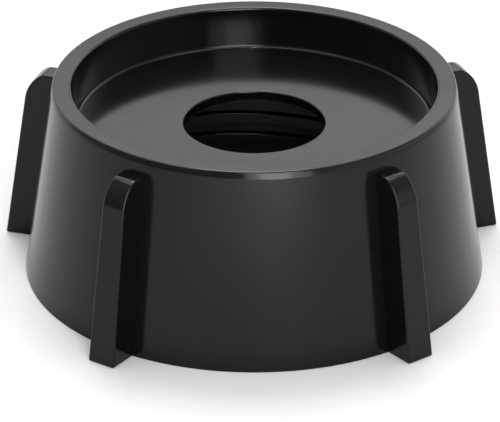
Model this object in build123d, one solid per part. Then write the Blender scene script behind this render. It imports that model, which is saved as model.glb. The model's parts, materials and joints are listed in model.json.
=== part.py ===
from build123d import *
import os
from math import radians, tan

# Threaded base cap of a blender jar, moulded in one piece.
# The wide end holds a coarse inside thread for the jar's neck, the floor clamps the blade unit
# and lets its drive through, and the recess at the narrow end drops over the motor's collar.
# Millimetres, +Z up. The origin is the centre of the wide rim, on which the cap stands.

# Jar thread, right-handed
thread_root_diameter = 70.6
thread_depth = 1.4
thread_pitch = 4.2
thread_starts = 2
thread_crest_width = 2.3
thread_flank_angle = 15.0
thread_start_angle = 9.0
thread_end_slope = 20.0
thread_margin = 0.3

# Plain mouth below the thread
mouth_step = 1.2
mouth_depth = 2.5
mouth_wall = 4.5

# Plain seat above the thread, for the blade unit's flange and gasket
seat_step = 0.4
seat_depth = 6.5

# Skirt and narrow end
cap_height = 35.1
skirt_taper = 8.85
shoulder_height = 1.5
shoulder_lean = 12.0
rim_width = 3.1
recess_depth = 7.65
recess_draft = 4.2
floor_thickness = 2.0
drive_hole_diameter = 24.8

# Grip fins
fin_count = 5
fin_reach = 5.4
fin_foot_thickness = 5.3
fin_draft = 1.0
fin_top_drop = 2.9
fin_corner_radius = 4.5

# Edges: rounded where a hand grips, sharp on the parting line round the wide rim, chamfered elsewhere
rim_outer_radius = 0.5
fin_edge_radius = 0.3
mouth_chamfer = 0.5
rim_inner_chamfer = 0.4
recess_chamfer = 0.4
hole_chamfer = 0.35

# Radii worked out from the thread outwards
thread_root_radius = thread_root_diameter / 2
thread_crest_radius = thread_root_radius - thread_depth
seat_radius = thread_crest_radius - seat_step
mouth_radius = thread_root_radius + mouth_step
base_radius = mouth_radius + mouth_wall
hole_radius = drive_hole_diameter / 2

# Heights worked out from the narrow rim downwards
floor_top = cap_height - recess_depth
floor_bottom = floor_top - floor_thickness
seat_bottom = floor_bottom - seat_depth
thread_room_top = seat_bottom - (thread_root_radius - seat_radius)
thread_room_bottom = mouth_depth + mouth_step
shoulder = cap_height - shoulder_height
fin_top = cap_height - fin_top_drop


def skirt_radius(height):
    """Outside radius of the tapered skirt at a height above the wide rim."""
    return base_radius - height * tan(radians(skirt_taper))


rim_radius = skirt_radius(shoulder) - shoulder_height * tan(radians(skirt_taper + shoulder_lean))
recess_top_radius = rim_radius - rim_width
recess_floor_radius = recess_top_radius - recess_depth * tan(radians(recess_draft))


def rounded(section, corner, radius):
    """The section with the corner at that point rounded."""
    return fillet(section.vertices().sort_by_distance(corner)[0], radius)


def chamfered(section, corner, length):
    """The section with the corner at that point cut off."""
    return chamfer(section.vertices().sort_by_distance(corner)[0], length)


def cap_body():
    """Skirt, rim, recess, floor, seat and mouth, turned from one section."""
    mouth_edge = (mouth_radius, 0)
    rim_outer_edge = (rim_radius, cap_height)
    rim_inner_edge = (recess_top_radius, cap_height)
    recess_corner = (recess_floor_radius, floor_top)
    hole_top_edge = (hole_radius, floor_top)
    hole_bottom_edge = (hole_radius, floor_bottom)
    outline = Polyline(
        mouth_edge,
        (base_radius, 0),
        (skirt_radius(shoulder), shoulder),
        rim_outer_edge,
        rim_inner_edge,
        recess_corner,
        hole_top_edge,
        hole_bottom_edge,
        (seat_radius, floor_bottom),
        (seat_radius, seat_bottom),
        (thread_root_radius, thread_room_top),
        (thread_root_radius, thread_room_bottom),
        (mouth_radius, mouth_depth),
        close=True,
    )
    section = make_face(outline)
    section = chamfered(section, mouth_edge, mouth_chamfer)
    section = rounded(section, rim_outer_edge, rim_outer_radius)
    section = chamfered(section, rim_inner_edge, rim_inner_chamfer)
    section = chamfered(section, recess_corner, recess_chamfer)
    section = chamfered(section, hole_top_edge, hole_chamfer)
    section = chamfered(section, hole_bottom_edge, hole_chamfer)
    return revolve(Plane.XZ * section, Axis.Z)


def stands_out(edge):
    """True for a fin's edge that reaches out of the skirt and isn't on the ground."""
    outer_end = max(edge @ 0, edge @ 1, key=lambda point: point.X)
    above_ground = (edge @ 0.5).Z > fin_edge_radius
    return above_ground and outer_end.X > skirt_radius(outer_end.Z)


def grip_fin():
    """One fin along +X: its outer edge runs beside the skirt, and its sides draw in towards the top."""
    foot_corner = (base_radius + fin_reach, 0)
    top_corner = (skirt_radius(fin_top) + fin_reach, fin_top)
    inside_wide_wall = (base_radius - mouth_wall / 2, 0)
    inside_rim_wall = (skirt_radius(fin_top) - rim_width / 2, fin_top)
    side_view = make_face(Polyline(inside_wide_wall, foot_corner, top_corner, inside_rim_wall, close=True))
    side_view = rounded(side_view, top_corner, fin_corner_radius)

    half_foot = fin_foot_thickness / 2
    half_top = half_foot - fin_top * tan(radians(fin_draft))
    end_view = make_face(
        Polyline((-half_foot, 0), (half_foot, 0), (half_top, fin_top), (-half_top, fin_top), close=True)
    )
    slab = extrude(Plane.XZ * side_view, fin_foot_thickness, both=True)
    wedge = extrude(Plane.YZ * end_view, base_radius + fin_reach)
    fin = slab & wedge
    flanks = fin.faces().sort_by(Axis.Y)
    outer_edges = [edge for flank in (flanks[0], flanks[-1]) for edge in flank.edges() if stands_out(edge)]
    return fillet(outer_edges, fin_edge_radius)


def thread_ridge():
    """One start of the jar thread, with both ends running out into the wall."""
    lead = thread_pitch * thread_starts
    flank_spread = tan(radians(thread_flank_angle))
    half_crest = thread_crest_width / 2
    half_base = half_crest + thread_depth * flank_spread
    bottom = thread_room_bottom + half_base + thread_margin
    rise = thread_room_top - half_base - thread_margin - bottom

    path = Helix(pitch=lead, height=rise, radius=thread_root_radius)
    sunk = thread_depth / 2
    half_sunk = half_base + sunk * flank_spread
    profile = make_face(
        Polyline(
            (-thread_depth, -half_crest),
            (-thread_depth, half_crest),
            (sunk, half_sunk),
            (sunk, -half_sunk),
            close=True,
        )
    )
    start = Plane(origin=path @ 0, x_dir=(1, 0, 0), z_dir=path % 0)
    ridge = sweep(start * profile, path=path, is_frenet=True)

    turn = 360 * rise / lead
    run_out = thread_depth / tan(radians(thread_end_slope))
    cutter = Box(2 * thread_depth, 4 * run_out, lead, align=(Align.MAX, Align.CENTER, Align.CENTER))
    pivot = Pos(X=thread_root_radius + sunk / 2)
    first_cut = pivot * Rot(Z=thread_end_slope) * cutter
    last_cut = Pos(Z=rise) * Rot(Z=turn) * pivot * Rot(Z=-thread_end_slope) * cutter
    ridge = ridge - first_cut - last_cut
    return Pos(Z=bottom) * Rot(Z=thread_start_angle) * ridge


def jar_base_cap():
    """The whole cap as one solid."""
    cap = cap_body()
    cap += PolarLocations(0, fin_count, start_angle=90) * grip_fin()
    cap += PolarLocations(0, thread_starts) * thread_ridge()
    return cap


os.makedirs("parts", exist_ok=True)
cap = jar_base_cap()
export_step(cap, "parts/jar_base_cap.step")
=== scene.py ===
import json
from math import cos, pi, radians, sin, tan

import bmesh
import bpy
from bpy.props import FloatProperty, FloatVectorProperty, IntProperty, PointerProperty, StringProperty
from mathutils import Euler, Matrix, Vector


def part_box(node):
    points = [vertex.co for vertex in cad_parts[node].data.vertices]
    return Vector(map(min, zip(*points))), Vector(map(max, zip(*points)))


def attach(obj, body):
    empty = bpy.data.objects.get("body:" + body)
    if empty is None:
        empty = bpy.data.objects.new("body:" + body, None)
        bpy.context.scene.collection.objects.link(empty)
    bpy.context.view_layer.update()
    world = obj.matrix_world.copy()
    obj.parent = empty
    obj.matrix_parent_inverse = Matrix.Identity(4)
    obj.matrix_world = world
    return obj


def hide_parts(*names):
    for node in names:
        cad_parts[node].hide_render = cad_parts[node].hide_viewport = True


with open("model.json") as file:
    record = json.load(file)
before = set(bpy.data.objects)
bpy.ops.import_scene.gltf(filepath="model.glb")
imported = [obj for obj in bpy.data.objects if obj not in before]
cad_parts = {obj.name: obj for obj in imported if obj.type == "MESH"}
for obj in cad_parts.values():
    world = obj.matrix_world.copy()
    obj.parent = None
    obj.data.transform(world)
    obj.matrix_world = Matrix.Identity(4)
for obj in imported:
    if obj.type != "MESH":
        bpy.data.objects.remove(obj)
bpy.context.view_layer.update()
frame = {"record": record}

bl_info = {
    "name": "Blender jar base cap",
    "version": (1, 0, 0),
    "blender": (4, 5, 0),
    "location": "3D View > Sidebar > Jar base cap",
    "description": "Builds the moulded base cap of a blender jar, with its grip fins and jar thread",
    "category": "Object",
}

CAP_NODE = "jar_base_cap"
MM = 0.001
# Edges that bend by more than this stay sharp.
SHARP_ANGLE = radians(35)
mounts = {mount["name"]: mount for mount in frame["record"]["mounts"]}
cap_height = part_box(CAP_NODE)[1].z

# Name, place, aim, size, radiance and spread in degrees of each light. A narrow spread lights one spot.
LIGHTS = (
    ("overhead_softbox", (0.0, 0.15, 1.2), (0.0, 0.15, 0.0), (1.25, 1.0), 2.7, 180),
    ("left_strip", (-0.55, 0.0, 1.2), (-0.55, 0.0, 0.0), (0.2, 0.5), 2.1, 180),
    ("right_strip", (0.55, 0.0, 1.2), (0.55, 0.0, 0.0), (0.2, 0.5), 2.1, 180),
    ("back_key", (0.0, 0.5, 1.07), (0.0, 0.0, 0.0), (0.35, 0.35), 16.0, 180),
    ("front_softbox", (0.15, -0.85, 0.75), (0.0, 0.0, 0.0), (0.5, 0.5), 8.0, 180),
    ("front_card", (0.057, -0.355, 0.098), (0.0, 0.0, 0.098), (0.1, 0.19), 6.2, 180),
    ("front_card_edge", (0.069, -0.358, 0.098), (0.0, 0.0, 0.098), (0.22, 0.19), 4.2, 180),
    ("front_spot", (0.0, -0.3, 1.2), (0.0, -0.3, 0.0), (0.1, 0.1), 8.6, 19),
    ("hole_spot", (0.0, -0.2, 1.2), (0.0, 0.0, 0.027), (0.04, 0.04), 0.45, 2.6),
)


def mount_radius(name):
    """Radius of one of the record's round mounts, in metres."""
    return mounts[name]["dims"]["r_mm"] * MM


def length_property(name, description, default):
    """A length in metres that the panel shows in the scene's unit."""
    return FloatProperty(name=name, description=description, default=default, unit="LENGTH", precision=5)


def angle_property(name, description, degrees):
    """An angle that the panel shows in degrees."""
    return FloatProperty(name=name, description=description, default=radians(degrees), unit="ROTATION")


def count_property(name, description, default):
    """A whole number from 1 up."""
    return IntProperty(name=name, description=description, default=default, min=1)


class CapBodySizes(bpy.types.PropertyGroup):
    """The turned body: skirt, rim, recess, floor, seat and mouth."""

    height: length_property("Height", "From the wide rim to the narrow rim", cap_height)
    base_radius: length_property("Base radius", "Outside radius of the skirt at the wide rim", 41.0 * MM)
    taper: angle_property("Taper", "How far the skirt leans in towards the narrow rim", 8.85)
    rim_width: length_property("Rim width", "Width of the flat narrow rim", 3.2 * MM)
    shoulder_height: length_property("Shoulder height", "From the narrow rim down to the bend", 0.78 * MM)
    shoulder_bend: angle_property("Shoulder bend", "How far the skirt bends in below the narrow rim", 16.0)
    recess_depth: length_property("Recess depth", "From the narrow rim down to the floor", 7.65 * MM)
    recess_draft: angle_property("Recess draft", "How far the recess wall leans out towards the rim", 4.2)
    floor_thickness: length_property("Floor thickness", "Thickness of the floor round the hole", 2.0 * MM)
    hole_radius: length_property("Hole radius", "Radius of the drive hole", mount_radius("drive_hole"))
    seat_radius: length_property("Seat radius", "Radius of the plain seat", mount_radius("blade_seat"))
    seat_depth: length_property("Seat depth", "Depth of the plain seat under the floor", 6.5 * MM)
    mouth_radius: length_property("Mouth radius", "Radius of the plain mouth", mount_radius("jar_mouth"))
    mouth_depth: length_property("Mouth depth", "Depth of the plain mouth", 2.5 * MM)
    mouth_edge: length_property("Mouth edge", "Radius of the mouth's outer edge", 0.45 * MM)
    mouth_step: length_property("Mouth step", "Radius of the bend at the top of the mouth", 0.3 * MM)
    wall_end: length_property("Wall ends", "Radius at the thread wall's ends and the seat's bottom", 0.4 * MM)
    seat_corner: length_property("Seat corner", "Radius between the seat and the floor", 0.5 * MM)
    hole_edge: length_property("Hole edges", "Radius of the drive hole's edges", 0.35 * MM)
    recess_corner: length_property("Recess corner", "Radius between the recess wall and its floor", 0.6 * MM)
    rim_edge: length_property("Rim edges", "Radius of the narrow rim's edges", 0.5 * MM)
    shoulder_round: length_property("Shoulder round", "Radius of the bend in the skirt", 3.8 * MM)
    base_edge: length_property("Base edge", "Radius of the wide rim's outer edge", 0.12 * MM)
    steps_round: IntProperty(name="Steps round", description="Faces round the body", default=320, min=24)
    corner_steps: count_property("Corner steps", "Points on each rounded corner", 7)


class GripFinSizes(bpy.types.PropertyGroup):
    """The fins that a hand turns the cap by."""

    count: count_property("Count", "Fins round the skirt", 5)
    reach: length_property("Reach", "How far a fin stands out of the skirt", 5.4 * MM)
    foot_thickness: length_property("Foot thickness", "Thickness of a fin at the wide rim", 5.3 * MM)
    draft: angle_property("Draft", "How far each side leans in towards the top", 1.0)
    top_drop: length_property("Top drop", "From the narrow rim down to the fins' tops", 2.9 * MM)
    top_radius: length_property("Top radius", "Radius of the outer corner next to the top", 2.2 * MM)
    side_radius: length_property("Side radius", "Radius of the outer corner next to the outer edge", 6.5 * MM)
    radius_change: angle_property("Radius change", "Slope at which one radius passes into the other", 35.0)
    corner_steps: count_property("Corner steps", "Faces on the outer corner", 24)
    edge_radius: length_property("Edge radius", "Radius along the outer edges", 0.3 * MM)
    edge_steps: count_property("Edge steps", "Faces across a rounded outer edge", 5)
    foot_radius: length_property("Foot radius", "Radius along the edges on the ground", 0.3 * MM)
    foot_steps: count_property("Foot steps", "Faces across a rounded edge on the ground", 3)
    foot_lift: length_property("Foot lift", "From the wide rim up to the fins' feet", 0.02 * MM)


class JarThreadSizes(bpy.types.PropertyGroup):
    """The inside thread that takes the jar's neck."""

    root_radius: length_property("Root radius", "Radius that the ridges' depth is measured from", 35.3 * MM)
    depth: length_property("Depth", "How far a ridge's crest stands in from the root radius", 1.4 * MM)
    groove_fill: length_property("Groove fill", "How far the wall stands in from the root radius", 0.7 * MM)
    pitch: length_property("Pitch", "From one ridge to the next", 4.2 * MM)
    starts: count_property("Starts", "Ridges that wind up side by side", 2)
    crest_width: length_property("Crest width", "Width of a ridge's flat crest", 2.3 * MM)
    crest_radius: length_property("Crest radius", "Radius along the edges of a crest", 0.3 * MM)
    crest_steps: count_property("Crest steps", "Points on each rounded edge of a crest", 3)
    flank_angle: angle_property("Flank angle", "How far each flank leans", 15.0)
    start_angle: angle_property("Start angle", "Where the first ridge starts, from +X", 9.0)
    end_slope: angle_property("End slope", "Slope at which a ridge's ends sink into the wall", 20.0)
    margin: length_property("Margin", "Plain wall left above and below the ridges", 0.3 * MM)


class PlasticFinish(bpy.types.PropertyGroup):
    """The finish of the black plastic."""

    colour: StringProperty(
        name="Colour", description="Colour of the plastic, as sRGB hex", default="#070708",
    )
    smoothest: FloatProperty(
        name="Smoothest", description="Roughness where the skin took the mould's polish best", default=0.13,
        min=0.0, max=1.0, subtype="FACTOR",
    )
    dullest: FloatProperty(
        name="Dullest", description="Roughness where the melt flowed last", default=0.175,
        min=0.0, max=1.0, subtype="FACTOR",
    )
    ior: FloatProperty(name="IOR", description="Index of refraction of the skin", default=1.32, min=1.0)
    flow_size: length_property("Flow marks", "Size of the clouds that the melt left in the gloss", 14.0 * MM)
    grain_size: length_property("Grain", "Size of the grain that the mould leaves", 0.5 * MM)
    grain_depth: length_property("Grain depth", "Depth of the grain that the mould leaves", 0.02 * MM)


class StudioSettings(bpy.types.PropertyGroup):
    """Floor and camera."""

    floor_colour: StringProperty(
        name="Floor", description="Colour of the floor, as sRGB hex", default="#BCBCBC",
    )
    floor_side: length_property("Floor side", "Length of the square floor's sides", 8.0)
    camera_distance: length_property("Camera distance", "From the camera to the point it aims at", 0.60658)
    camera_elevation: angle_property("Camera elevation", "Height of the camera above the horizon", 27.286)
    camera_turn: angle_property("Camera turn", "How far the camera stands to the left of the front", 1.729)
    camera_aim: FloatVectorProperty(
        name="Camera aim", description="The point that the camera looks at",
        default=(-0.745 * MM, 0.0, 9.68 * MM), subtype="TRANSLATION",
    )
    camera_lens: FloatProperty(
        name="Lens", description="Focal length in millimetres", default=244.47, unit="CAMERA",
    )


def linear_colour(hex_colour):
    """An sRGB hex colour as linear red, green, blue and alpha."""
    channels = [int(hex_colour[start:start + 2], 16) / 255 for start in (1, 3, 5)]
    return [c / 12.92 if c <= 0.04045 else ((c + 0.055) / 1.055) ** 2.4 for c in channels] + [1.0]


def add_node(tree, kind, inputs=None, **settings):
    """Adds a node with its settings, and links or sets the inputs that are given by name or number."""
    node = tree.nodes.new(kind)
    for name, value in settings.items():
        setattr(node, name, value)
    for name, value in (inputs or {}).items():
        if isinstance(value, bpy.types.NodeSocket):
            tree.links.new(value, node.inputs[name])
        else:
            node.inputs[name].default_value = value
    return node


def new_geometry_tree(name, **sockets):
    """An empty Geometry Nodes tree with a geometry input and output and other inputs of the given kinds.

    An input is named as its keyword is, with spaces. Gives the tree and the outputs of its input node.
    """
    tree = bpy.data.node_groups.new(name, "GeometryNodeTree")
    tree.interface.new_socket("Geometry", in_out="INPUT", socket_type="NodeSocketGeometry")
    for keyword, kind in sockets.items():
        socket_name = keyword.replace("_", " ").capitalize()
        tree.interface.new_socket(socket_name, in_out="INPUT", socket_type="NodeSocket" + kind)
    tree.interface.new_socket("Geometry", in_out="OUTPUT", socket_type="NodeSocketGeometry")
    return tree, tree.nodes.new("NodeGroupInput").outputs


def rounded_section(tree, given, corner_steps):
    """The outline that comes in, as a curve with its corners rounded."""
    section = add_node(tree, "GeometryNodeMeshToCurve", {"Mesh": given["Geometry"]})
    radius = add_node(tree, "GeometryNodeInputNamedAttribute", {"Name": "corner_radius"}, data_type="FLOAT")
    rounded = add_node(tree, "GeometryNodeFilletCurve", {
        "Curve": section.outputs[0], "Radius": radius.outputs[0], "Count": corner_steps,
    }, mode="POLY")
    return rounded.outputs[0]


def ring_of(tree, piece, count, start_angle=0.0, height=0.0):
    """Repeats a piece at even angles round Z, from a start angle and at a height."""
    points = add_node(tree, "GeometryNodePoints", {"Count": count})
    lift = add_node(tree, "ShaderNodeCombineXYZ", {"Z": height})
    raised = add_node(tree, "GeometryNodeSetPosition", {
        "Geometry": points.outputs[0], "Offset": lift.outputs[0],
    })
    index = add_node(tree, "GeometryNodeInputIndex")
    step = add_node(tree, "ShaderNodeMath", {0: 2 * pi, 1: count}, operation="DIVIDE")
    turn = add_node(tree, "ShaderNodeMath", {
        0: index.outputs[0], 1: step.outputs[0], 2: start_angle,
    }, operation="MULTIPLY_ADD")
    angles = add_node(tree, "ShaderNodeCombineXYZ", {"Z": turn.outputs[0]})
    rotation = add_node(tree, "FunctionNodeEulerToRotation", {0: angles.outputs[0]})
    ring = add_node(tree, "GeometryNodeInstanceOnPoints", {
        "Points": raised.outputs[0], "Instance": piece, "Rotation": rotation.outputs[0],
    })
    return ring.outputs[0]


def finish_tree(tree, geometry, material):
    """Ends a tree in Realize Instances and Set Material."""
    real = add_node(tree, "GeometryNodeRealizeInstances", {"Geometry": geometry})
    painted = add_node(tree, "GeometryNodeSetMaterial", {"Geometry": real.outputs[0], "Material": material})
    add_node(tree, "NodeGroupOutput", {"Geometry": painted.outputs[0]})


def bake(piece):
    """Turns a piece and its modifiers into a plain mesh."""
    graph = bpy.context.evaluated_depsgraph_get()
    mesh = bpy.data.meshes.new_from_object(
        piece.evaluated_get(graph), preserve_all_data_layers=True, depsgraph=graph
    )
    piece.modifiers.clear()
    piece.data = mesh


def grow(piece, tree, values):
    """Runs a tree on a piece with the given inputs, and keeps the result as the piece's mesh."""
    modifier = piece.modifiers.new(tree.name, "NODES")
    modifier.node_group = tree
    for item in tree.interface.items_tree:
        if item.in_out == "INPUT" and item.name in values:
            modifier[item.identifier] = values[item.name]
    bake(piece)


def new_piece(name, mesh):
    """A new object with that mesh, linked to the scene."""
    piece = bpy.data.objects.new(name, mesh)
    bpy.context.scene.collection.objects.link(piece)
    return piece


def outline_piece(name, corners):
    """A closed flat outline of (x, y, corner radius), as the edges of a mesh."""
    mesh = bpy.data.meshes.new(name)
    count = len(corners)
    points = [(x, y, 0.0) for x, y, _ in corners]
    mesh.from_pydata(points, [(i, (i + 1) % count) for i in range(count)], [])
    radius = mesh.attributes.new("corner_radius", "FLOAT", "POINT")
    radius.data.foreach_set("value", [corner[2] for corner in corners])
    return new_piece(name, mesh)


def skirt_radius(sizes, height):
    """Outside radius of the skirt at a height above the wide rim."""
    return sizes.base_radius - height * tan(sizes.taper)


def thread_room(sizes, thread):
    """Lowest and highest point of the room that the thread stands in."""
    seat_bottom = sizes.height - sizes.recess_depth - sizes.floor_thickness - sizes.seat_depth
    bottom = sizes.mouth_depth + sizes.mouth_radius - thread.root_radius
    return bottom, seat_bottom - (thread.root_radius - sizes.seat_radius)


def moulded_plastic(finish):
    """Injection-moulded black polypropylene.

    A polished mould leaves it smooth and half glossy: soft mirror images of the studio over a deep black,
    faint clouds in the gloss where the melt flowed, and a fine grain that softens the highlights.
    """
    material = bpy.data.materials.new("moulded_black_polypropylene")
    material.use_nodes = True
    tree = material.node_tree
    tree.nodes.clear()
    place = add_node(tree, "ShaderNodeTexCoord").outputs["Object"]
    flow = add_node(tree, "ShaderNodeTexNoise", {
        "Vector": place, "Scale": 1 / finish.flow_size, "Detail": 3.0, "Roughness": 0.55,
    })
    gloss = add_node(tree, "ShaderNodeMapRange", {
        "Value": flow.outputs[0], "From Min": 0.3, "From Max": 0.7,
        "To Min": finish.smoothest, "To Max": finish.dullest,
    })
    # The real grain is a few hundredths of a millimetre, too fine to show, so it is drawn coarser.
    grain = add_node(tree, "ShaderNodeTexNoise", {
        "Vector": place, "Scale": 1 / finish.grain_size, "Detail": 2.0, "Roughness": 0.5,
    })
    skin = add_node(tree, "ShaderNodeBump", {
        "Height": grain.outputs[0], "Strength": 0.04, "Distance": finish.grain_depth,
    })
    # Polypropylene's index is about 1.49. The lower one matches how faintly the skirt mirrors the floor.
    shader = add_node(tree, "ShaderNodeBsdfPrincipled", {
        "Base Color": linear_colour(finish.colour), "Roughness": gloss.outputs[0], "IOR": finish.ior,
        "Normal": skin.outputs[0],
    })
    add_node(tree, "ShaderNodeOutputMaterial", {"Surface": shader.outputs[0]})
    return material


def turned_tree():
    """Rounds the corners of a section and turns it about Z.

    The section's x is measured outwards from the path's radius, and its y downwards.
    """
    tree, given = new_geometry_tree(
        "Turned body", path_radius="Float", steps_round="Int", corner_steps="Int", material="Material"
    )
    path = add_node(tree, "GeometryNodeCurvePrimitiveCircle", {
        "Radius": given["Path radius"], "Resolution": given["Steps round"],
    })
    body = add_node(tree, "GeometryNodeCurveToMesh", {
        "Curve": path.outputs[0], "Profile Curve": rounded_section(tree, given, given["Corner steps"]),
    })
    finish_tree(tree, body.outputs[0], given["Material"])
    return tree


def fin_ring_tree():
    """Sets a ring of fins round Z."""
    tree, given = new_geometry_tree("Fin ring", count="Int", material="Material")
    finish_tree(tree, ring_of(tree, given["Geometry"], given["Count"]), given["Material"])
    return tree


def thread_tree():
    """Sweeps a ridge's section up a helix, sinks both ends into the wall, and repeats it for each start."""
    tree, given = new_geometry_tree(
        "Jar thread", radius="Float", bottom="Float", rise="Float", turns="Float", depth="Float",
        run_out="Float", start_angle="Float", starts="Int", steps_a_turn="Int", corner_steps="Int",
        material="Material",
    )
    helix = add_node(tree, "GeometryNodeCurveSpiral", {
        "Resolution": given["Steps a turn"], "Rotations": given["Turns"], "Start Radius": given["Radius"],
        "End Radius": given["Radius"], "Height": given["Rise"], "Reverse": True,
    })
    upright = add_node(tree, "GeometryNodeSetCurveNormal", {"Curve": helix.outputs[0]}, mode="Z_UP")
    along = add_node(tree, "GeometryNodeSplineParameter").outputs["Length"]
    length = add_node(tree, "GeometryNodeSplineLength")
    left = add_node(tree, "ShaderNodeMath", {0: length.outputs[0], 1: along}, operation="SUBTRACT")
    nearest = add_node(tree, "ShaderNodeMath", {0: along, 1: left.outputs[0]}, operation="MINIMUM")
    sink = add_node(tree, "ShaderNodeMapRange", {
        "Value": nearest.outputs[0], "From Min": 0.0, "From Max": given["Run out"],
        "To Min": given["Depth"], "To Max": 0.0,
    })
    position = add_node(tree, "GeometryNodeInputPosition")
    flat = add_node(tree, "ShaderNodeVectorMath", {
        0: position.outputs[0], 1: (1.0, 1.0, 0.0),
    }, operation="MULTIPLY")
    outward = add_node(tree, "ShaderNodeVectorMath", {0: flat.outputs[0]}, operation="NORMALIZE")
    offset = add_node(tree, "ShaderNodeVectorMath", {
        0: outward.outputs[0], "Scale": sink.outputs[0],
    }, operation="SCALE")
    sunk = add_node(tree, "GeometryNodeSetPosition", {
        "Geometry": upright.outputs[0], "Offset": offset.outputs[0],
    })
    ridge = add_node(tree, "GeometryNodeCurveToMesh", {
        "Curve": sunk.outputs[0], "Profile Curve": rounded_section(tree, given, given["Corner steps"]),
        "Fill Caps": True,
    })
    ridges = ring_of(tree, ridge.outputs[0], given["Starts"], given["Start angle"], given["Bottom"])
    finish_tree(tree, ridges, given["Material"])
    return tree


class CAP_OT_turn_body(bpy.types.Operator):
    """Turn the skirt, rim, recess, floor, seat and mouth from one section"""

    bl_idname = "object.cap_turn_body"
    bl_label = "Turn body"

    def execute(self, context):
        sizes = context.scene.cap_body
        thread = context.scene.cap_thread
        room_bottom, room_top = thread_room(sizes, thread)
        wall_radius = thread.root_radius - thread.groove_fill
        floor_top = sizes.height - sizes.recess_depth
        floor_bottom = floor_top - sizes.floor_thickness
        shoulder = sizes.height - sizes.shoulder_height
        shoulder_radius = skirt_radius(sizes, shoulder)
        rim_radius = shoulder_radius - sizes.shoulder_height * tan(sizes.taper + sizes.shoulder_bend)
        recess_top = rim_radius - sizes.rim_width
        recess_floor = recess_top - sizes.recess_depth * tan(sizes.recess_draft)
        # Radius, height and corner radius, up the inside, through the hole, over the rim and down the skirt
        section = [
            (sizes.mouth_radius, 0.0, sizes.mouth_edge),
            (sizes.mouth_radius, sizes.mouth_depth, sizes.mouth_step),
            (wall_radius, room_bottom + thread.groove_fill, sizes.wall_end),
            (wall_radius, room_top + thread.groove_fill, sizes.wall_end),
            (sizes.seat_radius, floor_bottom - sizes.seat_depth, sizes.wall_end),
            (sizes.seat_radius, floor_bottom, sizes.seat_corner),
            (sizes.hole_radius, floor_bottom, sizes.hole_edge),
            (sizes.hole_radius, floor_top, sizes.hole_edge),
            (recess_floor, floor_top, sizes.recess_corner),
            (recess_top, sizes.height, sizes.rim_edge),
            (rim_radius, sizes.height, sizes.rim_edge),
            (shoulder_radius, shoulder, sizes.shoulder_round),
            (sizes.base_radius, 0.0, sizes.base_edge),
        ]
        corners = [(radius - sizes.hole_radius, -height, corner) for radius, height, corner in section]
        body = outline_piece("cap_moulding", corners)
        grow(body, turned_tree(), {
            "Path radius": sizes.hole_radius,
            "Steps round": sizes.steps_round,
            "Corner steps": sizes.corner_steps,
            "Material": context.scene.cap_finish_material,
        })
        return {"FINISHED"}


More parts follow.
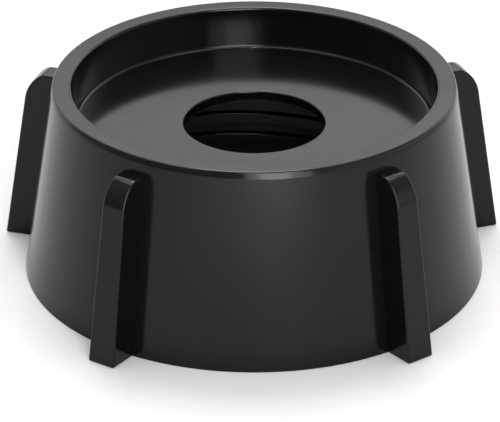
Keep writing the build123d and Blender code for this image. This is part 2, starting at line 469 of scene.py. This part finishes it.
class CAP_OT_add_fins(bpy.types.Operator):
    """Model one grip fin and set the ring of fins round the skirt"""

    bl_idname = "object.cap_add_fins"
    bl_label = "Add grip fins"

    def execute(self, context):
        body = context.scene.cap_body
        sizes = context.scene.cap_fins
        shape = self.plain_fin(body, sizes)
        bmesh.ops.bevel(
            shape, geom=self.outer_edges(shape, body, sizes), offset=sizes.edge_radius,
            segments=sizes.edge_steps, profile=0.5, affect="EDGES",
        )
        bmesh.ops.bevel(
            shape, geom=self.foot_edges(shape, body, sizes), offset=sizes.foot_radius,
            segments=sizes.foot_steps, profile=0.5, affect="EDGES",
        )
        mesh = bpy.data.meshes.new("fin")
        shape.to_mesh(mesh)
        shape.free()
        fins = new_piece("grip_fins", mesh)
        grow(fins, fin_ring_tree(), {"Count": sizes.count, "Material": context.scene.cap_finish_material})
        return {"FINISHED"}

    def plain_fin(self, body, sizes):
        """A fin along +Y with sharp edges. Its inner end is buried in the wall."""
        top = body.height - sizes.top_drop
        buried = body.rim_width / 2
        # Radius and height of the side view
        side_view = [
            (body.base_radius - buried, sizes.foot_lift),
            (body.base_radius + sizes.reach, sizes.foot_lift),
            *self.outer_corner(body, sizes, top),
            (skirt_radius(body, top) - buried, top),
        ]
        count = len(side_view)
        half_foot = sizes.foot_thickness / 2
        corners = [(half_foot - height * tan(sizes.draft), radius, height) for radius, height in side_view]
        shape = bmesh.new()
        left = [shape.verts.new((-half, radius, height)) for half, radius, height in corners]
        right = [shape.verts.new(corner) for corner in corners]
        shape.faces.new(left)
        shape.faces.new(right[::-1])
        for i in range(count):
            j = (i + 1) % count
            shape.faces.new((left[j], left[i], right[i], right[j]))
        bmesh.ops.recalc_face_normals(shape, faces=shape.faces)
        return shape

    def outer_corner(self, body, sizes, top):
        """Points of the outer top corner, from the outer edge up to the top.

        Two arcs that touch make it, and the upper one is tighter.
        """
        change = sizes.radius_change
        end = pi / 2 - body.taper
        upper, lower = sizes.top_radius, sizes.side_radius
        # How far both arcs together go down and out from the end of the flat top
        drop = upper * (1 - cos(change)) + lower * (cos(change) - cos(end))
        span = upper * sin(change) + lower * (sin(end) - sin(change))
        start = skirt_radius(body, top - drop) + sizes.reach - span
        points = []
        for step in range(sizes.corner_steps + 1):
            slope = end * (1 - step / sizes.corner_steps)
            if slope > change:
                along = upper * sin(change) + lower * (sin(slope) - sin(change))
                down = upper * (1 - cos(change)) + lower * (cos(change) - cos(slope))
            else:
                along = upper * sin(slope)
                down = upper * (1 - cos(slope))
            points.append((start + along, top - down))
        return points

    def outer_edges(self, shape, body, sizes):
        """The edges of both sides that stand out of the skirt, apart from those on the ground."""
        found = []
        for edge in shape.edges:
            sides = sorted(abs(face.normal.x) for face in edge.link_faces)
            middle = (edge.verts[0].co + edge.verts[1].co) / 2
            outer = max(vert.co.y for vert in edge.verts) > skirt_radius(body, middle.z)
            if sides[0] < 0.5 < sides[1] and middle.z > sizes.edge_radius and outer:
                found.append(edge)
        return found

    def foot_edges(self, shape, body, sizes):
        """The edges on the ground that stand out of the skirt."""
        found = []
        for edge in shape.edges:
            on_ground = all(abs(vert.co.z - sizes.foot_lift) < 0.01 * MM for vert in edge.verts)
            if on_ground and max(vert.co.y for vert in edge.verts) > body.base_radius:
                found.append(edge)
        return found


class CAP_OT_add_thread(bpy.types.Operator):
    """Sweep the ridges of the jar thread"""

    bl_idname = "object.cap_add_thread"
    bl_label = "Add jar thread"

    def execute(self, context):
        body = context.scene.cap_body
        sizes = context.scene.cap_thread
        room_bottom, room_top = thread_room(body, sizes)
        half_crest = sizes.crest_width / 2
        half_base = half_crest + sizes.depth * tan(sizes.flank_angle)
        sunk = sizes.depth / 2
        half_sunk = half_base + sunk * tan(sizes.flank_angle)
        bottom = room_bottom + half_base + sizes.margin
        rise = room_top - half_base - sizes.margin - bottom
        lead = sizes.pitch * sizes.starts
        ridge = outline_piece("jar_thread", [
            (sunk, -half_sunk, 0.0),
            (sunk, half_sunk, 0.0),
            (-sizes.depth, half_crest, sizes.crest_radius),
            (-sizes.depth, -half_crest, sizes.crest_radius),
        ])
        grow(ridge, thread_tree(), {
            "Radius": sizes.root_radius,
            "Bottom": bottom,
            "Rise": rise,
            "Turns": rise / lead,
            "Depth": sizes.depth,
            "Run out": sizes.depth / tan(sizes.end_slope),
            "Start angle": sizes.start_angle,
            "Starts": sizes.starts,
            "Steps a turn": body.steps_round,
            "Corner steps": sizes.crest_steps,
            "Material": context.scene.cap_finish_material,
        })
        return {"FINISHED"}


class CAP_OT_join(bpy.types.Operator):
    """Join body, fins and thread into one closed moulding that stands for the CAD cap"""

    bl_idname = "object.cap_join"
    bl_label = "Join the moulding"

    def execute(self, context):
        cap = bpy.data.objects["cap_moulding"]
        added = [bpy.data.objects["grip_fins"], bpy.data.objects["jar_thread"]]
        for piece in added:
            union = cap.modifiers.new(piece.name, "BOOLEAN")
            union.operation = "UNION"
            union.solver = "MANIFOLD"
            union.object = piece
        bake(cap)
        for piece in added:
            bpy.data.objects.remove(piece)
        cap.data.shade_smooth()
        cap.data.set_sharp_from_angle(angle=SHARP_ANGLE)
        weighted = cap.modifiers.new("Flat faces stay flat", "WEIGHTED_NORMAL")
        weighted.keep_sharp = True
        bake(cap)
        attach(cap, "root")
        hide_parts(CAP_NODE)
        return {"FINISHED"}


class CAP_OT_set_stage(bpy.types.Operator):
    """Set up the floor, the studio light and the camera"""

    bl_idname = "scene.cap_set_stage"
    bl_label = "Set stage"

    def execute(self, context):
        studio = context.scene.cap_studio
        self.lay_floor(studio)
        self.light_surround()
        for light in LIGHTS:
            self.hang_light(*light)
        self.place_camera(studio)
        context.scene.view_settings.view_transform = "Standard"
        return {"FINISHED"}

    def lay_floor(self, studio):
        """A wide matt white sheet under the cap."""
        half = studio.floor_side / 2
        mesh = bpy.data.meshes.new("floor")
        corners = [(-half, -half, 0), (half, -half, 0), (half, half, 0), (-half, half, 0)]
        mesh.from_pydata(corners, [], [(0, 1, 2, 3)])
        material = bpy.data.materials.new("matt_white_sheet")
        material.use_nodes = True
        shader = material.node_tree.nodes["Principled BSDF"]
        shader.inputs["Base Color"].default_value = linear_colour(studio.floor_colour)
        shader.inputs["Roughness"].default_value = 0.9
        shader.inputs["Specular IOR Level"].default_value = 0.0
        mesh.materials.append(material)
        new_piece("floor", mesh)

    def light_surround(self):
        """A white studio round the cap.

        Its walls are dimmer in front. A bright screen stands behind, and a card low on the right.
        """
        world = bpy.data.worlds.new("studio")
        world.use_nodes = True
        bpy.context.scene.world = world
        tree = world.node_tree
        tree.nodes.clear()
        direction = add_node(tree, "ShaderNodeTexCoord").outputs["Generated"]
        axes = add_node(tree, "ShaderNodeSeparateXYZ", {"Vector": direction}).outputs
        # The screen's lit part reaches lower at the sides.
        aside = add_node(tree, "ShaderNodeMath", {0: axes["X"]}, operation="ABSOLUTE")
        lifted = add_node(tree, "ShaderNodeMath", {
            0: aside.outputs[0], 1: 0.15, 2: axes["Z"],
        }, operation="MULTIPLY_ADD")
        # What each smooth step follows, where it starts and ends, and its value at either end
        steps = {
            "walls": (axes["Z"], 0.0, 0.25, 0.61, 0.8),
            "front": (axes["Y"], 0.1, -0.4, 1.0, 0.62),
            "behind": (axes["Y"], 0.3, 0.7, 0.0, 1.0),
            "screen_top": (lifted.outputs[0], 0.385, 0.44, 0.0, 2.05),
            "screen_foot": (axes["Z"], 0.28, 0.12, 0.0, 1.4),
            "right": (axes["X"], 0.4, 0.8, 0.0, 1.0),
            "low": (axes["Z"], 0.25, 0.7, 1.05, 0.0),
        }
        level = {}
        for name, (follows, start, end, first, last) in steps.items():
            level[name] = add_node(tree, "ShaderNodeMapRange", {
                "Value": follows, "From Min": start, "From Max": end, "To Min": first, "To Max": last,
            }, interpolation_type="SMOOTHSTEP").outputs[0]
        room = add_node(tree, "ShaderNodeMath", {0: level["walls"], 1: level["front"]}, operation="MULTIPLY")
        carded = add_node(tree, "ShaderNodeMath", {
            0: level["right"], 1: level["low"], 2: room.outputs[0],
        }, operation="MULTIPLY_ADD")
        screen = add_node(tree, "ShaderNodeMath", {
            0: level["screen_top"], 1: level["screen_foot"],
        }, operation="ADD")
        strength = add_node(tree, "ShaderNodeMath", {
            0: level["behind"], 1: screen.outputs[0], 2: carded.outputs[0],
        }, operation="MULTIPLY_ADD")
        light = add_node(tree, "ShaderNodeBackground", {"Strength": strength.outputs[0]})
        add_node(tree, "ShaderNodeOutputWorld", {"Surface": light.outputs[0]})

    def hang_light(self, name, place, aim, size, radiance, spread):
        """A rectangular light that the camera doesn't see."""
        light = bpy.data.lights.new(name, "AREA")
        light.shape = "RECTANGLE"
        light.size, light.size_y = size
        light.energy = radiance * pi * size[0] * size[1]
        light.spread = radians(spread)
        lamp = bpy.data.objects.new(name, light)
        lamp.location = place
        lamp.rotation_euler = (Vector(aim) - Vector(place)).to_track_quat("-Z", "Y").to_euler()
        lamp.visible_camera = False
        bpy.context.scene.collection.objects.link(lamp)

    def place_camera(self, studio):
        """A long lens at the height and turn that the cap is seen from."""
        data = bpy.data.cameras.new("camera")
        data.lens = studio.camera_lens
        data.sensor_width = 36.0
        data.clip_start = 0.01
        camera = bpy.data.objects.new("camera", data)
        camera.rotation_euler = (pi / 2 - studio.camera_elevation, 0.0, -studio.camera_turn)
        back = Euler(camera.rotation_euler).to_matrix() @ Vector((0.0, 0.0, studio.camera_distance))
        camera.location = Vector(studio.camera_aim) + back
        bpy.context.scene.collection.objects.link(camera)
        bpy.context.scene.camera = camera


class CAP_PT_panel(bpy.types.Panel):
    """Lists the steps that build the cap"""

    bl_idname = "CAP_PT_panel"
    bl_label = "Jar base cap"
    bl_space_type = "VIEW_3D"
    bl_region_type = "UI"
    bl_category = "Jar base cap"

    def draw(self, context):
        for operator in OPERATORS:
            self.layout.operator(operator.bl_idname)
        for group in SETTINGS:
            settings = getattr(context.scene, group)
            box = self.layout.box()
            for name in settings.bl_rna.properties.keys():
                if name not in ("rna_type", "name"):
                    box.prop(settings, name)


SETTINGS = {
    "cap_body": CapBodySizes,
    "cap_fins": GripFinSizes,
    "cap_thread": JarThreadSizes,
    "cap_finish": PlasticFinish,
    "cap_studio": StudioSettings,
}
OPERATORS = (CAP_OT_turn_body, CAP_OT_add_fins, CAP_OT_add_thread, CAP_OT_join, CAP_OT_set_stage)


def register():
    for cls in (*SETTINGS.values(), *OPERATORS, CAP_PT_panel):
        bpy.utils.register_class(cls)
    for name, group in SETTINGS.items():
        setattr(bpy.types.Scene, name, PointerProperty(type=group))
    bpy.types.Scene.cap_finish_material = PointerProperty(type=bpy.types.Material)


def unregister():
    del bpy.types.Scene.cap_finish_material
    for name in SETTINGS:
        delattr(bpy.types.Scene, name)
    for cls in (CAP_PT_panel, *OPERATORS, *SETTINGS.values()):
        bpy.utils.unregister_class(cls)


def main():
    register()
    scene = bpy.context.scene
    scene.cap_finish_material = moulded_plastic(scene.cap_finish)
    bpy.ops.object.cap_turn_body()
    bpy.ops.object.cap_add_fins()
    bpy.ops.object.cap_add_thread()
    bpy.ops.object.cap_join()
    bpy.ops.scene.cap_set_stage()


if __name__ == "__main__":
    main()
